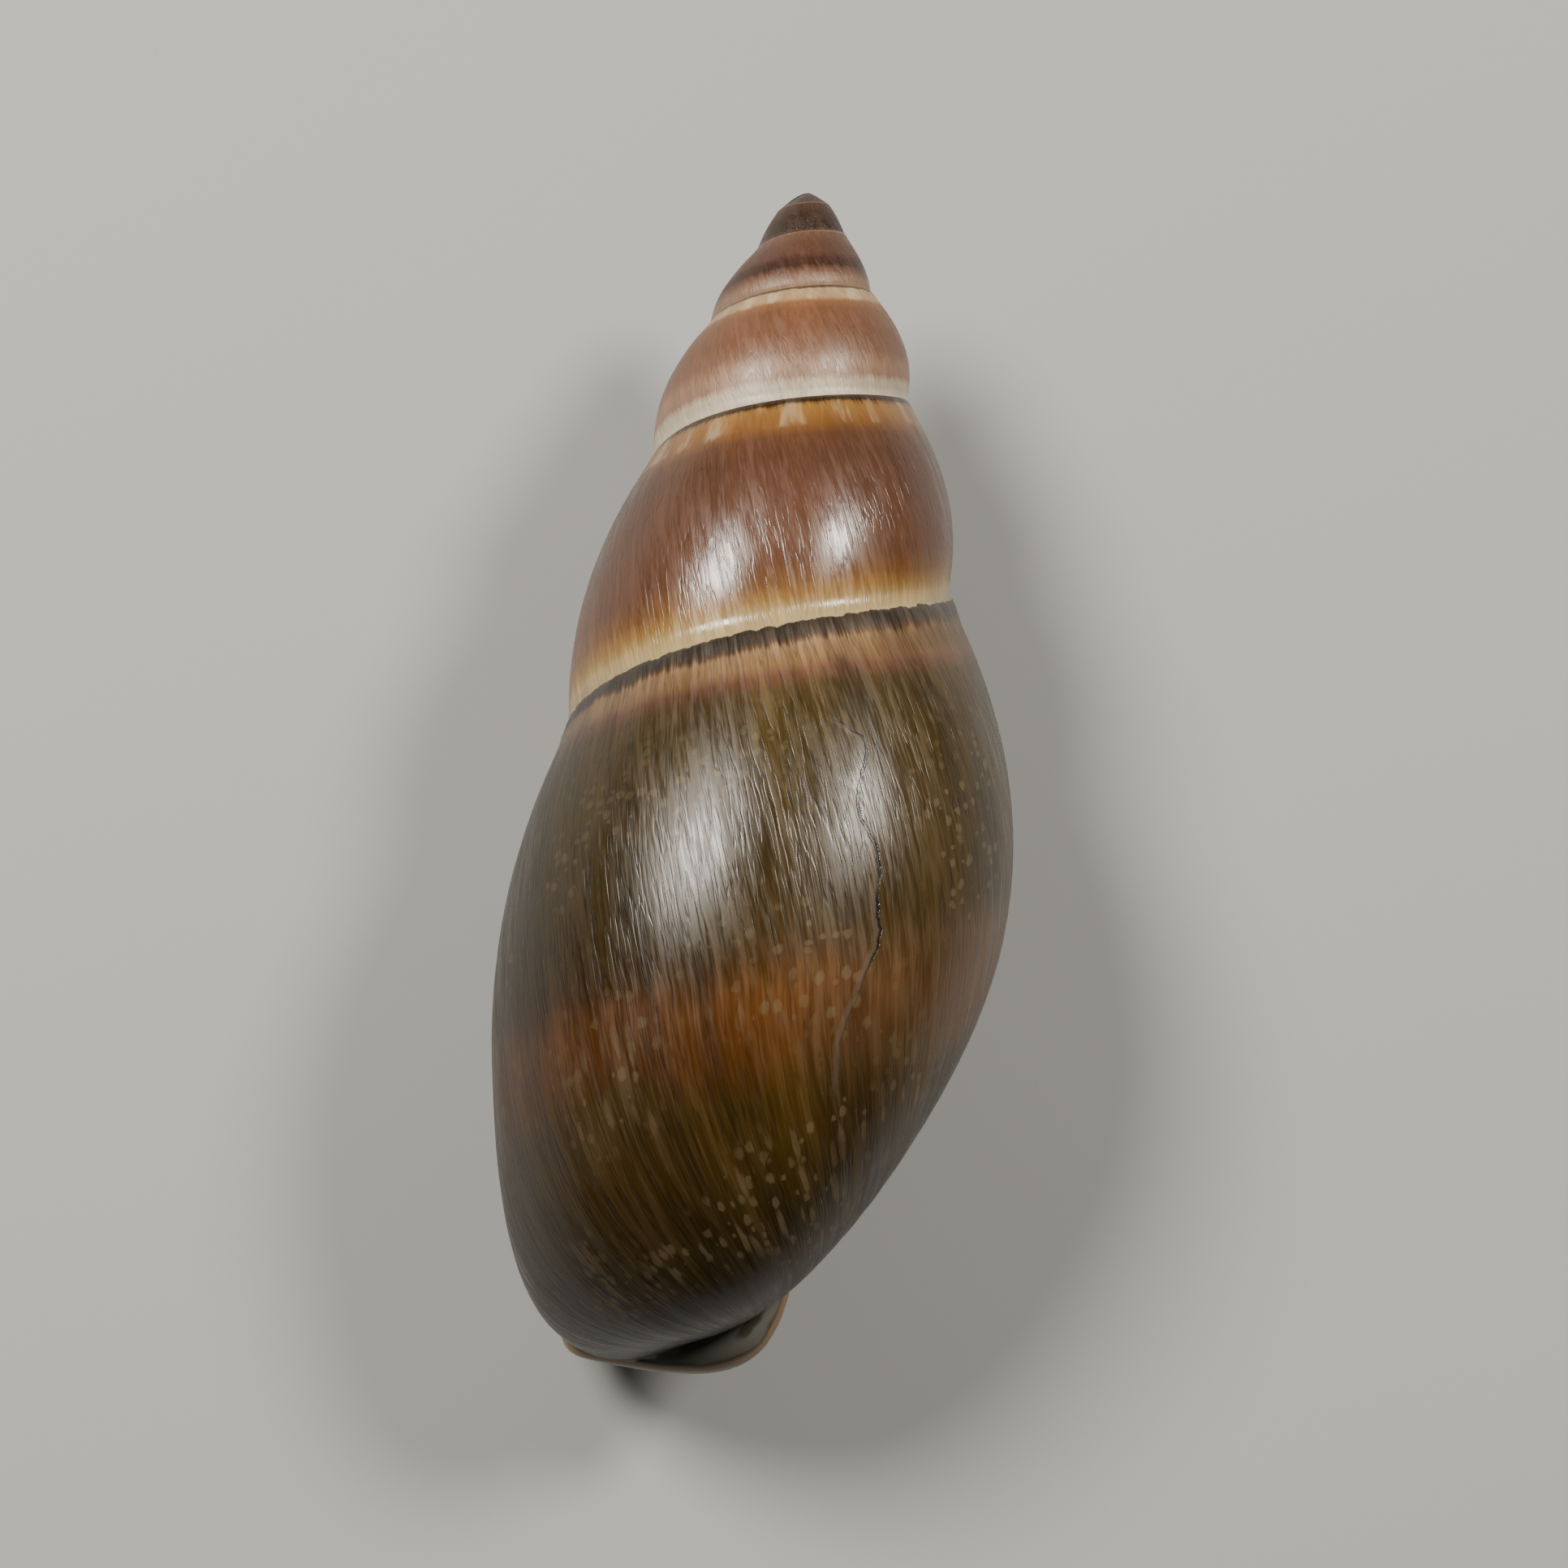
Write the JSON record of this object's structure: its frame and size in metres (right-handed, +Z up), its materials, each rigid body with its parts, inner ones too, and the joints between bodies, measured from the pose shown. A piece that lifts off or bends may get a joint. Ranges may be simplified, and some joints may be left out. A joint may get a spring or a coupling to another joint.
{
  "type": "land snail shell",
  "caption": "Empty shell of a large land snail: a tall right-hand coil with a smooth swollen last whorl, an open mouth and a rounded lip, lying mouth down.",
  "frame": {"origin": "middle of the footprint of the shell's box, on the surface it lies on", "axes": "+Z up from the surface it lies on, +Y towards the pointed tip of the coil, +X away from the mouth's outer lip"},
  "size_m": [0.031, 0.074, 0.029],
  "materials": {
    "shell": "smooth, satin to glossy skin, brown with paler bands"
  },
  "bodies": {
    "root": {"shell": "shell"}
  },
  "joints": []
}
